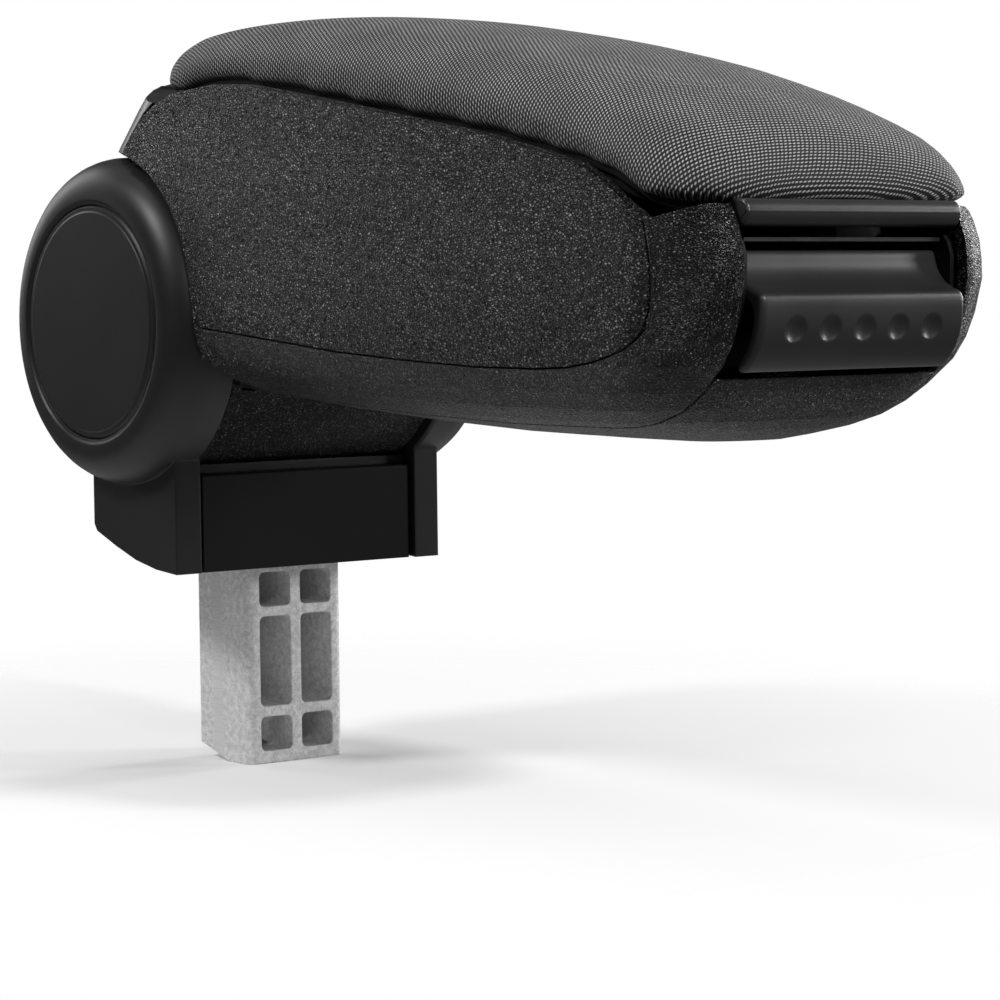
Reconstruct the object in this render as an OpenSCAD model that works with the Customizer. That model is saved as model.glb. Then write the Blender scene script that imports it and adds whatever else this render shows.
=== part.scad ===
// Car centre armrest: a hinged storage armrest on a cast post.
// +X points to the latch end, +Y to the left, +Z up. The origin is on the post's axis,
// level with the underside of the base. Most pieces are drawn from the tilt pivot.

/* [Pivot] */
// Radius of the barrel that turns between the arms
barrel_r = 47.5; // [46:0.25:49]
// Depth of the base below the barrel
base_drop = 28.8; // [27:0.2:34]
// How far the pivot lies behind the post's axis
pivot_back = 3.9; // [2:0.1:5]
// Radius of the pivot shaft
shaft_r = 6; // [5:0.5:7]
// Radial running clearance of every hinge
running_clear = 0.05; // [0.02:0.01:0.1]
// Clearance between the barrel's ends and the arms
barrel_gap = 1.65; // [1.2:0.05:2]

/* [Arms] */
// How far the arm drums stand out past the barrel
drum_lip = 2.5; // [2:0.1:4]
// Distance from the middle to an arm's inner face
arm_inner = 40.85; // [40.5:0.05:41.5]
// Distance from the middle to an arm's outer face
arm_outer = 62; // [60:0.5:66]
// Radius of the round cap in each arm
cap_r = 35.5; // [30:0.5:37]
// Thickness of the round cap
cap_t = 3; // [2:0.5:4]
// Distance from the middle to a leg's outer face
leg_outer = 50; // [49.5:0.25:52]

/* [Base] */
// Front face of the legs, ahead of the pivot
base_front = 27.3; // [26:0.1:30]
// Rear face of the legs, behind the pivot
base_rear = 18.5; // [17:0.5:21]
// Height of the front plate
plate_h = 29.8; // [26:0.2:30]
// Thickness of the base's plates
plate_t = 3; // [2:0.5:4]

/* [Post] */
// Width of the cast post
post_w = 36; // [30:0.5:40]
// Depth of the cast post, front to back
post_d = 28.8; // [26:0.1:30]
// Length of the post below the base
post_l = 61.9; // [50:0.1:75]
// Depth of the core pockets
pocket_depth = 20; // [8:1:22]
// Thickness of the rib between the two columns of pockets
pocket_rib = 3.7; // [2:0.1:6]

/* [Armrest] */
// Half width of the armrest at its middle level
body_half_w = 58; // [57:0.25:59]
// Front of the armrest, ahead of the pivot
body_front = 266; // [265:0.5:268]
// Corner radius of the armrest's front, seen from above
corner_r = 21; // [18:0.5:26]
// Wall of the plastic shells
wall = 3.6; // [3:0.1:4]
// Thickness of the side inlay panels
inlay_t = 1.8; // [1.4:0.1:2]
// Gap round the inlay panels
panel_gap = 0.5; // [0.4:0.1:0.8]

/* [Storage] */
// Half width of the storage tray
tray_half_w = 42; // [36:0.5:43]
// Distance between the barrel and the tray's rear wall
tray_gap = 10.5; // [8.5:0.5:20]
// Front wall of the tray, ahead of the pivot
tray_front = 238; // [225:1:240]
// Level of the tray's underside, below the pivot
tray_low = 12; // [8:0.5:13]
// Wall of the tray
tray_wall = 2.5; // [2:0.1:3]

/* [Lid] */
// Highest point of the pad above the pivot
pad_top = 90; // [86:0.5:94]
// Rear end of the pad, ahead of the pivot
pad_rear = 21; // [20:0.5:22]
// Radius of the lid's hinge pin
lid_pin_r = 1.5; // [1.2:0.1:1.8]
// Radius of the lid's hinge knuckles
knuckle_r = 3.2; // [3:0.1:3.3]
// Half width of the front bar
bar_half_w = 38.2; // [36:0.1:38.8]

/* [Release lever] */
// Half width of the release lever
lever_half_w = 35.3; // [33:0.1:35.6]
// Radius of the lever's pin
lever_pin_r = 2; // [1.5:0.1:2.2]
// Number of thumb dimples
dimple_count = 5; // [3:1:5]
// Distance between dimples
dimple_pitch = 12.15; // [10:0.05:12.5]
// Radius of a dimple's rim
dimple_r = 3.6; // [3:0.1:4]
// Depth of a dimple
dimple_depth = 0.9; // [0.5:0.1:1.2]

/* [Hidden] */
$fn = 48;
// Longer than any piece, for cuts that go right through
far = 400;
// Gap between two pieces that are fixed to each other
seat_gap = 0.3;
pivot_h = barrel_r + base_drop;
drum_r = barrel_r + drum_lip;
base_low = -pivot_h;

// Armrest form: level of its widest line, exponent of its round underside, lowest level at the front
mid_z = 10;
belly_n = 3.2;
belly_front = -31;
// How much the sides lean in by the top, and how far they bow out
side_lean = 2;
side_bow = 1.8;
rear_x = -30;
// Angles of the underside's levels, and the heights of the levels above the widest line
belly_angles = [84, 72, 62, 52, 42, 32, 20, 12, 5];
side_levels = [10, 15, 20, 25, 29.5, 100];
// Front of the armrest at each level, less its furthest reach
front_line = [[-31, -36], [-30, -30], [-28, -24.5], [-25.3, -19.5], [-21.5, -15.5], [-16, -11], [-10.5, -6.2],
  [-5.5, -3.9], [0, -2.1], [4, -1], [8, -0.2], [11, 0], [15, -0.1], [20, -0.7], [24, -2], [27, -3.7],
  [29.5, -5.2]];
// Underside of the armrest along its length, and the line where the lid parts from it
belly_line = [[-30, -18], [30, -20], [60, -23.5], [100, -27], [145, -30], [190, -32], [225, -32], [270, -31]];
split_line = [[20, 68.5], [40, 69], [60, 70.3], [80, 69], [105, 65], [128, 61], [150, 57], [187, 50.5],
  [206, 46], [224, 41.5], [233, 38.5], [240, 35], [245, 31.5], [250, 29.5], [290, 29.5]];
// Gap between the parting line and the shells, and the shells' own top edge towards the front
split_gap = 1.5;
rim_line = concat(
  [for (p = split_line) if (p[0] >= 40 && p[0] < 230) [p[0], p[1] - split_gap]],
  [[232.7, 35.3], [239.7, 30.4], [244.7, 27.3], [247.4, 25.4], [250.6, 25.9], [253.6, 26.8], [255.8, 27.6],
    [257.7, 28.4], [259, 28.9], [290, 28.9]]
);

// Ridge of the pad along its length, as a share of its highest point, and its radius across
crown_line = [[15, 0.92], [27, 0.955], [40, 0.99], [55, 1], [80, 0.995], [115, 0.955], [155, 0.88],
  [190, 0.795], [220, 0.695], [244, 0.59], [258, 0.5], [270, 0.42]];
crown_r = 300;

// Inlay panel: clearance of its rear edge round the drum, its lower line, its nose and its rear shoulder
arc_r = drum_r + 2;
inlay_low = [[56, -1.5], [82, -4], [121, -8], [151, -10], [180, -11.5], [205, -11.8], [217, -11.3],
  [226, -10.1], [234, -8.3], [240, -6.4], [244, -4.1], [246.8, -1.6]];
inlay_nose = [[248.9, 2.5], [249.8, 7.2], [250, 12], [249.4, 16.6], [248.4, 20.8], [247, 24.8]];
shoulder = [for (p = [[31.1, 64.4], [26.1, 62], [20.9, 58.6], [17, 55.1], [13.8, 51.8]])
  if (norm(p) > arc_r + 0.5) p];
shoulder_end = shoulder[len(shoulder) - 1];
arc_top = atan2(shoulder_end[1], shoulder_end[0]);
// The side shell's wall that closes it round the arm
well_low = -12;
well_t = 2;

// Lid hinge axis, lever axis, seam between the shells, and the lip under the lever
hinge_x = 15.5;
hinge_z = 72.5;
lever_x = body_front - 14.5;
lever_z = 12;
seam_y = arm_inner - barrel_gap;
seam_gap = 0.6;
lip_z = -14.6;
front_z = 29.5;

function lerp(a, b, t) = a + (b - a) * t;
// Value of a line of [place, value] points at a place
function along(line, x, i = 0) =
  x <= line[0][0] ? line[0][1]
  : i >= len(line) - 1 ? line[len(line) - 1][1]
  : x <= line[i + 1][0] ? lerp(line[i][1], line[i + 1][1], (x - line[i][0]) / (line[i + 1][0] - line[i][0]))
  : along(line, x, i + 1);
function shifted(line, dz) = [for (p = line) [p[0], p[1] + dz]];
function backwards(line) = [for (i = [len(line) - 1 : -1 : 0]) line[i]];
function arc(r, a0, a1) =
  let (n = round(abs(a1 - a0) / 6))
  [for (i = [0 : n]) r * [cos(lerp(a0, a1, i / n)), sin(lerp(a0, a1, i / n))]];

// Half of a level outline, from the rear on the right side round to the front's middle
straight_steps = 6;
corner_steps = 6;
function half_level(w, front, r, rear) =
  let (r1 = min(r, w - 1), start = front - r1)
  concat(
    [for (i = [0 : straight_steps - 1])
      let (t = i / straight_steps)
      [lerp(rear, start, t), -w - side_bow * sin(180 * t)]],
    [for (i = [0 : corner_steps])
      let (a = 90 * i / corner_steps)
      [start + r1 * sin(a), -w + r1 - r1 * cos(a)]]
  );
function full_level(h) = concat(h, [for (i = [len(h) - 1 : -1 : 0]) [h[i][0], -h[i][1]]]);

// Skins a stack of closed rings that have the same even number of points, each the mirror of itself
module skin(rings) {
  n = len(rings[0]);
  m = len(rings);
  top = (m - 1) * n;
  polyhedron(
    points = [for (ring = rings) each ring],
    faces = concat(
      [for (i = [0 : n / 2 - 2]) [i, i + 1, n - 2 - i, n - 1 - i]],
      [for (k = [0 : m - 2]) for (i = [0 : n - 1]) [(k + 1) * n + i, k * n + (i + 1) % n, k * n + i]],
      [for (k = [0 : m - 2]) for (i = [0 : n - 1])
        [(k + 1) * n + i, (k + 1) * n + (i + 1) % n, k * n + (i + 1) % n]],
      [for (i = [0 : n / 2 - 2]) [top + n - 1 - i, top + n - 2 - i, top + i + 1, top + i]]
    )
  );
}

// The armrest's whole outer form, drawn in by the given inset
module body_form(inset) {
  belly_rings = [for (a = belly_angles)
    let (g = pow(sin(a), 2 / belly_n), h = pow(cos(a), 2 / belly_n))
    let (front = body_front + along(front_line, lerp(mid_z, belly_front, g)) - inset)
    let (level = half_level((body_half_w - inset) * h, front, corner_r + 6 * g - inset, rear_x))
    [for (p = full_level(level))
      [p[0], p[1], mid_z - (mid_z - along(belly_line, p[0]) - inset) * g]]];
  side_rings = [for (z = side_levels)
    let (w = body_half_w - side_lean * (z - mid_z) / 60 - inset)
    let (level = half_level(w, body_front + along(front_line, z) - inset, corner_r - inset, rear_x))
    [for (p = full_level(level)) [p[0], p[1], z]]];
  skin(concat(belly_rings, side_rings));
}

// Extrudes a side-view outline across the part, between two distances from the middle
module side_prism(points, y0, y1) {
  across(y0, y1) polygon(points);
}
module across(y0, y1) {
  translate([0, y1, 0]) rotate([90, 0, 0]) linear_extrude(y1 - y0) children();
}
module cross_cylinder(r, y0, y1, x = 0, z = 0) {
  translate([x, y1, z]) rotate([90, 0, 0]) cylinder(r = r, h = y1 - y0);
}
module at_pivot() {
  translate([-pivot_back, 0, pivot_h]) children();
}
module left_of() {
  mirror([0, 1, 0]) children();
}
module rounded_rect(w, d, r) {
  square([w - 2 * r, d], center = true);
  square([w, d - 2 * r], center = true);
  for (x = [-1, 1]) for (y = [-1, 1]) translate([x * (w / 2 - r), y * (d / 2 - r)]) circle(r);
}
module rounded_bar(w, d, h, r) {
  linear_extrude(h) rounded_rect(w, d, r);
}

// Side outline of the inlay panel, grown by the given amount
function inlay_outline(grow) = concat(
  arc(arc_r - grow, 0, arc_top),
  [for (p = backwards(shoulder)) [p[0] - grow, p[1] + grow]],
  [for (p = rim_line) if (p[0] <= 246) [p[0], p[1] - panel_gap + 2 * grow]],
  [for (p = backwards(inlay_nose)) [p[0] + grow, p[1] + (p[1] > 24 ? 2 * grow : 0)]],
  [for (p = backwards(inlay_low)) [p[0] + (p[0] > 240 ? grow : 0), p[1] - grow]]
);
// Side outline of the side shell
shell_outline = concat(
  arc(arc_r, well_low, arc_top),
  backwards(shoulder),
  rim_line,
  [[290, -60], [arc_r + 10, -60], [arc_r + 8, -20], [arc_r + 3, -16]]
);

// Drum, leg and cavity of the right arm; the left one is its mirror
leg_outline = [[base_front, base_low], [base_front - 11, base_low + 1], [5, base_low + 3.3],
  [-6, base_low + 7], [-base_rear + 1.5, base_low + 11.3], [-base_rear, base_low + 13.5],
  [-base_rear, -30], [base_front, -30]];
cavity_y = arm_inner + 2.6;
ear_t = 4;
ear_w = 20;
ear_r = 14;
ear_clear = 0.25;
flange_z = base_low + 12;
flange_t = 8;
bush_t = 2;
face_r = 38.5;
cap_clear = 0.2;
drum_chamfer = 0.8;
module right_arm_cover() {
  color([0.17, 0.17, 0.18]) at_pivot() difference() {
    union() {
      rotate([90, 0, 0]) rotate_extrude() drum_section();
      side_prism(leg_outline, -leg_outer, -arm_inner);
    }
    cross_cylinder(cap_r + cap_clear, -arm_outer - 1, -arm_outer + cap_t + 0.5);
    ear_shape(ear_clear);
    translate([-ear_w / 2 - ear_clear, -cavity_y - ear_t - ear_clear, flange_z - ear_clear])
      cube([ear_w + 2 * ear_clear, 20, flange_t + 2 * ear_clear]);
    cross_cylinder(shaft_r + 2 * running_clear, -far, 0);
  }
}
// Half section of a drum: distance from the axis, and distance from the middle of the part
module drum_section() {
  side_y = leg_outer - 2;
  polygon(concat(
    [[0, arm_inner], [drum_r - drum_chamfer, arm_inner], [drum_r, arm_inner + drum_chamfer]],
    [[drum_r, side_y]],
    [for (a = [10 : 10 : 90])
      [face_r + (drum_r - face_r) * cos(a), side_y + (arm_outer - side_y) * sin(a)]],
    [[cap_r + 1.6, arm_outer], [cap_r + 1, arm_outer - 0.6], [0, arm_outer - 0.6]]
  ));
}
// One ear of the casting on the right side, grown by a clearance
module ear_shape(grow) {
  y0 = -cavity_y - ear_t - grow;
  y1 = -cavity_y + grow;
  cross_cylinder(ear_r + grow, y0, y1);
  translate([-ear_w / 2 - grow, y0, flange_z - 3 * grow])
    cube([ear_w + 2 * grow, y1 - y0, -flange_z + 3 * grow]);
}
module right_cap() {
  color([0.15, 0.15, 0.16]) at_pivot() rotate([90, 0, 0]) rotate_extrude() polygon([
    [0, arm_outer - cap_t], [cap_r - 0.6, arm_outer - cap_t], [cap_r, arm_outer - cap_t + 0.6],
    [cap_r, arm_outer - 1], [cap_r - 0.7, arm_outer - 0.3], [cap_r - 1.8, arm_outer - 0.3],
    [cap_r - 2.3, arm_outer], [0, arm_outer]
  ]);
}

// Cast aluminium post with its flange and two ears that carry the shaft
post_r = 2.5;
pocket_rows = [[-12.9, 10.79], [-44.1, 28.19], [-58.1, 10.79]];
pocket_wall = 4.3;
pocket_r = 1.8;
screw_y = 29;
screw_x = 5;
screw_r = 1.6;
head_r = 3.1;
module pocket(y, z, h) {
  w = (post_w - pocket_rib) / 2 - pocket_wall;
  translate([post_d / 2 - pocket_depth, y, z + h / 2]) rotate([90, 0, 90])
    rounded_bar(w, h, pocket_depth + 1, pocket_r);
}
module post_casting() {
  column_y = (post_w + pocket_rib) / 4 - pocket_wall / 2;
  pocket_floor = post_d / 2 - pocket_depth;
  color([0.66, 0.67, 0.68]) difference() {
    union() {
      translate([0, 0, -post_l])
        rounded_bar(post_d, post_w, post_l + pivot_h + flange_z + flange_t, post_r);
      for (side = [0, 1]) mirror([0, side, 0]) at_pivot() ear_shape(0);
      translate([-pivot_back - ear_w / 2, -cavity_y - ear_t, pivot_h + flange_z])
        cube([ear_w, 2 * (cavity_y + ear_t), flange_t]);
    }
    for (y = [-1, 1]) for (row = pocket_rows) pocket(y * column_y, row[0], row[1]);
    translate([-post_d / 2 - 1, 0, -post_l])
      side_prism([[-1, -1], [19, -1], [14, 1.6], [1, 5.4], [-1, 6]], -post_w, post_w);
    at_pivot() cross_cylinder(shaft_r + bush_t + running_clear, -far, far);
    for (y = [-1, 1]) translate([screw_x, y * screw_y, pivot_h + flange_z - 1])
      cylinder(r = screw_r + running_clear, h = flange_t + 2);
  }
  color([0.6, 0.61, 0.62]) {
    translate([pocket_floor - 1, -column_y - 5.9, -44]) cube([11, 5, 8]);
    translate([pocket_floor - 1, -column_y + 5.9, -52.6]) rotate([0, 90, 0]) cylinder(r = 4.6, h = 9);
  }
}

// Plates that close the base between the legs
plate_back = 1.3;
plate_y = arm_inner - 1.65;
floor_y = arm_inner - seat_gap;
floor_front = base_front - plate_back - plate_t - 0.1;
floor_rear = -base_rear + plate_t;
floor_up = 3.1;
saddle_front = floor_front - 0.7;
module front_plate() {
  front = base_front - plate_back;
  top = base_low + plate_h;
  color([0.06, 0.06, 0.065]) at_pivot() side_prism([[front - plate_t, base_low], [front, base_low],
    [front, top - 0.6], [front - 0.6, top], [front - plate_t, top]], -plate_y, plate_y);
}
module rear_plate() {
  color([0.1, 0.1, 0.11]) at_pivot() side_prism([[-base_rear, base_low + 14], [floor_rear, base_low + 13],
    [floor_rear, -barrel_r - 2.7], [-base_rear, -barrel_r - 1.9]], -floor_y, floor_y);
}
module base_floor() {
  color([0.12, 0.12, 0.13]) difference() {
    at_pivot() side_prism([[floor_front, base_low], [base_front - 11, base_low], [5, base_low + 2.4],
      [-6, base_low + 6.2], [floor_rear, base_low + 12.6], [floor_rear, base_low + 15.6],
      [-6.2, base_low + 9.2], [4.8, base_low + 6.2], [floor_front, base_low + 6.2]], -floor_y, floor_y);
    translate([0, 0, -10]) rounded_bar(post_d + seat_gap, post_w + seat_gap, 30, post_r);
    for (y = [-1, 1]) translate([screw_x, y * screw_y, -1]) {
      cylinder(r = screw_r + 0.1, h = 20);
      cylinder(r = head_r + seat_gap, h = 1 + floor_up);
    }
  }
}
module saddle_cover() {
  color([0.09, 0.09, 0.1]) at_pivot() across(-floor_y, floor_y) intersection() {
    difference() {
      circle(barrel_r + 4);
      circle(barrel_r + 1.4);
    }
    polygon([[0, 0], [-34, -94], [saddle_front, -94], [saddle_front, 0]]);
  }
}
module floor_screws() {
  color([0.7, 0.7, 0.7]) for (y = [-1, 1]) translate([screw_x, y * screw_y, 0.6]) {
    cylinder(r = head_r, h = floor_up - 0.9);
    cylinder(r = screw_r, h = 18);
  }
}
module pivot_shaft() {
  end_y = cavity_y + ear_t + 0.1;
  color([0.6, 0.6, 0.62]) at_pivot() cross_cylinder(shaft_r, -end_y, end_y);
}
module right_bush() {
  color([0.85, 0.84, 0.78]) at_pivot() difference() {
    cross_cylinder(shaft_r + bush_t, -cavity_y - ear_t, -cavity_y);
    cross_cylinder(shaft_r + running_clear, -far, 0);
  }
}
module right_washer() {
  color([0.85, 0.84, 0.78]) at_pivot() difference() {
    cross_cylinder(shaft_r + 8, -arm_inner + 0.05, -seam_y - 0.1);
    cross_cylinder(shaft_r + running_clear, -far, 0);
  }
}

module right_side_shell() {
  color([0.13, 0.13, 0.14]) at_pivot() difference() {
    union() {
      intersection() {
        difference() {
          body_form(0);
          body_form(wall);
        }
        side_prism(shell_outline, -far, -seam_y - seam_gap);
      }
      side_prism(concat(arc(arc_r, well_low, arc_top), backwards(arc(arc_r + well_t, well_low, arc_top))),
        -body_half_w + wall - 1, -seam_y - seam_gap);
    }
    difference() {
      side_prism(inlay_outline(panel_gap), -far, -seam_y);
      body_form(inlay_t + seat_gap);
    }
  }
}
module right_inlay() {
  color([0.16, 0.16, 0.17]) at_pivot() intersection() {
    difference() {
      body_form(0);
      body_form(inlay_t);
    }
    side_prism(inlay_outline(0), -far, -seam_y);
  }
}
// Underside between the side shells, with the barrel that turns on the shaft
barrel_wall = 3;
web_t = 3.5;
hub_t = 5;
shell_start = barrel_r - 9.5;
module lower_shell() {
  color([0.12, 0.12, 0.13]) at_pivot() difference() {
    union() {
      intersection() {
        difference() {
          body_form(0);
          body_form(wall);
        }
        side_prism([[shell_start, -12], [shell_start, -60], [290, -60], [290, lip_z], [232, lip_z],
          [232, -12]], -seam_y, seam_y);
      }
      difference() {
        cross_cylinder(barrel_r, -seam_y, seam_y);
        cross_cylinder(barrel_r - barrel_wall, -seam_y + web_t, seam_y - web_t);
        side_prism([[0, 0], [-9, 60], [60, 60], [60, -22.5], [46, -22.5]], -seam_y + web_t, seam_y - web_t);
      }
      cross_cylinder(shaft_r + hub_t, -seam_y, seam_y);
    }
    cross_cylinder(shaft_r + running_clear, -far, far);
  }
}

// Storage tray, with a rim that follows the parting line of the lid
tray_rear = barrel_r + tray_gap;
rim_gap = 2.6;
rim_t = 2.4;
foot_y = 12;
foot_rise = 1.4;
foot_r = 3.5;
foot_places = [tray_rear + 14, tray_front - 30];
boss_y = 29.5;
cheek_y = 37;
cheek_line = [[-9, -8], [-5, 0], [-3.3, 8], [-3.1, 16], [-4.2, 19.5], [-6.5, 22]];
module tray_rect(half_w, x0, x1, r) {
  translate([(x0 + x1) / 2, 0]) rounded_rect(x1 - x0, 2 * half_w, r);
}
module storage_tray() {
  color([0.1, 0.1, 0.11]) at_pivot() difference() {
    union() {
      intersection() {
        translate([0, 0, -tray_low]) linear_extrude(100) tray_rect(tray_half_w, tray_rear, tray_front, 10);
        side_prism(concat(shifted(split_line, -rim_gap), [[290, -90], [20, -90]]), -far, far);
      }
      intersection() {
        side_prism(concat(shifted(split_line, -rim_gap), backwards(shifted(split_line, -rim_gap - rim_t))),
          -far, far);
        linear_extrude(100) tray_rect(body_half_w - wall - 2.6, 35, tray_front + 6, 12);
      }
      for (y = [-1, 1]) side_prism([[tray_front - 1, lever_z - 14], [lever_x + 1, lever_z - 4.2],
        [lever_x + 4, lever_z - 1], [lever_x + 4, lever_z + 1], [lever_x + 1, lever_z + 4],
        [tray_front - 1, lever_z + 6]], y * boss_y - 1.5, y * boss_y + 1.5);
      for (y = [-1, 1]) side_prism(concat([[tray_front - 1, 22], [tray_front - 1, -8]],
        [for (p = cheek_line) [body_front + p[0], p[1]]]), y * cheek_y - 0.7, y * cheek_y + 0.7);
      for (x = foot_places) for (y = [-1, 1])
        translate([x, y * foot_y, along(belly_line, x) + wall + foot_rise])
          cylinder(r = foot_r, h = -tray_low - along(belly_line, x) - wall);
    }
    translate([0, 0, tray_wall - tray_low]) linear_extrude(120)
      tray_rect(tray_half_w - tray_wall, tray_rear + tray_wall, tray_front - tray_wall, 8);
    cross_cylinder(lever_pin_r + running_clear, -far, far, lever_x, lever_z);
  }
}
module tray_screws() {
  color([0.7, 0.7, 0.7]) at_pivot() for (x = foot_places) for (y = [-1, 1])
    translate([x, y * foot_y, tray_wall - tray_low]) cylinder(r = foot_r - 0.5, h = 1.6);
}

// Smooth cover behind the tray: levels of its sloping rear wall, its side outline and its hollow
cover_rear = [[-16, 46], [-12.2, 50.1], [-9.5, 53.1], [-4.9, 57.7], [0.3, 63], [5.6, 67.8], [10.6, 71.6],
  [14.2, 75]];
cover_side = [[-60, 40], [-60, 80], [14.9, 80], [15.8, 72], [16.5, 70], [20.5, 66.8], [26.5, 65.4],
  [28.7, 65], [23.6, 62.3], [18.4, 58.1], [13.9, 54.2], [10.5, 50.4], [8, 40]];
cover_hollow = [[-60, 30], [-60, 70.9], [11.6, 70.9], [14.4, 67.8], [18, 64.6], [19.6, 62.2], [15.6, 58.9],
  [11, 54.9], [7.6, 50.6], [7.6, 30]];
cover_half_w = body_half_w - 1;
cover_corner = 30;
cover_wall = 2.4;
knuckle_in = 12;
knuckle_out = 24;
knuckle_y = (knuckle_in + knuckle_out) / 2;
knuckle_gap = 0.3;
cover_knuckles = [[-knuckle_out - 12, -knuckle_out - knuckle_gap],
  [knuckle_gap - knuckle_in, knuckle_in - knuckle_gap], [knuckle_out + knuckle_gap, knuckle_out + 12]];
module rear_cover() {
  color([0.2, 0.2, 0.21]) at_pivot() difference() {
    union() {
      difference() {
        intersection() {
          cover_form(0);
          side_prism(cover_side, -far, far);
        }
        intersection() {
          cover_form(cover_wall);
          side_prism(cover_hollow, -far, far);
        }
        cross_cylinder(drum_r + 1.6, -far, far);
      }
      for (span = cover_knuckles) {
        cross_cylinder(knuckle_r, span[0], span[1], hinge_x, hinge_z);
        side_prism([[12.4, 69.5], [hinge_x, hinge_z - knuckle_r], [hinge_x, hinge_z + knuckle_r - 0.6],
          [13.4, 74.4]], span[0], span[1]);
      }
    }
    for (y = [-knuckle_y, knuckle_y]) {
      cross_cylinder(knuckle_r + 0.4, y - 6, y + 6, hinge_x, hinge_z);
      side_prism([[hinge_x - 1, hinge_z - knuckle_r - 0.4], [hinge_x + 20, hinge_z - knuckle_r - 3],
        [hinge_x + 20, 80], [hinge_x - 1, 80]], y - 6, y + 6);
    }
    cross_cylinder(lid_pin_r + running_clear, -far, far, hinge_x, hinge_z);
  }
}
// The rear cover's outer form, drawn in by the given inset
module cover_form(inset) {
  skin([for (p = cover_rear)
    [for (q = full_level(cover_half(cover_half_w - inset, p[0] + 1.4 * inset, cover_corner - inset)))
      [q[0], q[1], p[1]]]]);
}
function cover_half(w, rear, r) = concat(
  [for (i = [0 : corner_steps]) let (a = 90 * i / corner_steps) [rear + r - r * cos(a), -w + r - r * sin(a)]],
  [[60, -w]]
);
module lid_hinge_pin() {
  color([0.7, 0.7, 0.72]) at_pivot() cross_cylinder(lid_pin_r, -35.5, 35.5, hinge_x, hinge_z);
}

// Lid: a plate that follows the parting line, with hinge arms, the latch tongue and the front bar
lid_inset = wall + 1.2;
lid_rise = 0.8;
lid_hang = 2;
bar_rear = body_front - 7.5;
hook_x = lever_x + 1;
arm_half_t = 5.7;
module lid_base() {
  color([0.11, 0.11, 0.12]) at_pivot() difference() {
    union() {
      intersection() {
        side_prism(concat(shifted(split_line, lid_rise), backwards(shifted(split_line, -lid_hang))),
          -far, far);
        translate([0, 0, 20]) linear_extrude(80) {
          tray_rect(body_half_w - lid_inset, 24, bar_rear - 3, 20);
          tray_rect(bar_half_w - 1, 200, bar_rear, 2);
        }
      }
      for (y = [-knuckle_y, knuckle_y]) {
        cross_cylinder(knuckle_r, y - arm_half_t, y + arm_half_t, hinge_x, hinge_z);
        side_prism([[hinge_x - 2, hinge_z - 2.4], [hinge_x + 1, hinge_z - knuckle_r], [30, 66.9], [30, 69],
          [hinge_x + 4, 69.6], [hinge_x + 2.8, hinge_z]], y - arm_half_t, y + arm_half_t);
      }
      side_prism([[hook_x - 7.5, front_z], [hook_x - 7.5, 21.6], [hook_x - 3.9, 21.6], [hook_x - 3.9, 22.6],
        [hook_x - 5.5, 23.6], [hook_x - 5.5, front_z]], -5, 5);
    }
    cross_cylinder(lid_pin_r + running_clear, -far, far, hinge_x, hinge_z);
  }
}
// Padded cushion: each ring is an inset from the widest outline and a share of the height up to the crown
pad_rings = [[4, 0], [1.6, 0.02], [0.2, 0.14], [0, 0.3], [1, 0.48], [2.6, 0.65], [4.6, 0.8], [7.2, 0.9],
  [11, 0.955], [18, 0.99], [28, 1], [42, 1]];
pad_side = 0.8;
pad_front_gap = 1.8;
pad_rear_corner = 20;
pad_seat = 0.3;
pad_stations = [for (p = split_line) if (p[0] >= 60 && p[0] <= 240) p[0]];
pad_start = pad_rear + pad_rear_corner;
pad_end = body_front - pad_front_gap - corner_r;
module pad() {
  color([0.2, 0.2, 0.21]) at_pivot() skin([for (ring = pad_rings)
    [for (p = full_level(pad_half(ring[0])))
      let (low = along(split_line, p[0]) + lid_rise + pad_seat)
      let (high = pad_top * along(crown_line, p[0]) - p[1] * p[1] / (2 * crown_r))
      [p[0], p[1], lerp(low, high, ring[1])]]]);
}
// Half outline of the pad, drawn in by d: the stations along its side are those of the parting line
function pad_half(d) =
  let (w = body_half_w - pad_side - d, front = body_front - pad_front_gap - d)
  let (r0 = max(pad_rear_corner - d, 1), r1 = max(corner_r - d, 1))
  let (x0 = pad_rear + d + r0, x1 = front - r1)
  concat(
    [for (i = [0 : 4]) [x0 - r0 * cos(22.5 * i), -w + r0 - r0 * sin(22.5 * i)]],
    [for (x = pad_stations)
      let (t = (x - pad_start) / (pad_end - pad_start))
      [lerp(x0, x1, t), -w - side_bow * sin(180 * t)]],
    [for (i = [0 : corner_steps])
      let (a = 90 * i / corner_steps)
      [x1 + r1 * sin(a), -w + r1 - r1 * cos(a)]]
  );
module front_bar() {
  color([0.22, 0.22, 0.23]) at_pivot() intersection() {
    translate([bar_rear, 0, front_z]) side_prism([[0, 0.7], [0, -5.1], [1.5, -6.3], [4.5, -6.3], [5.8, -5.5],
      [6.9, -3.2], [6.5, -0.9], [5.3, 0.4], [3.5, 0.7]], -bar_half_w, bar_half_w);
    translate([0, 0, 20]) linear_extrude(20) tray_rect(bar_half_w, bar_rear - 44.5, bar_rear + 7.1, 3);
  }
}

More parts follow.
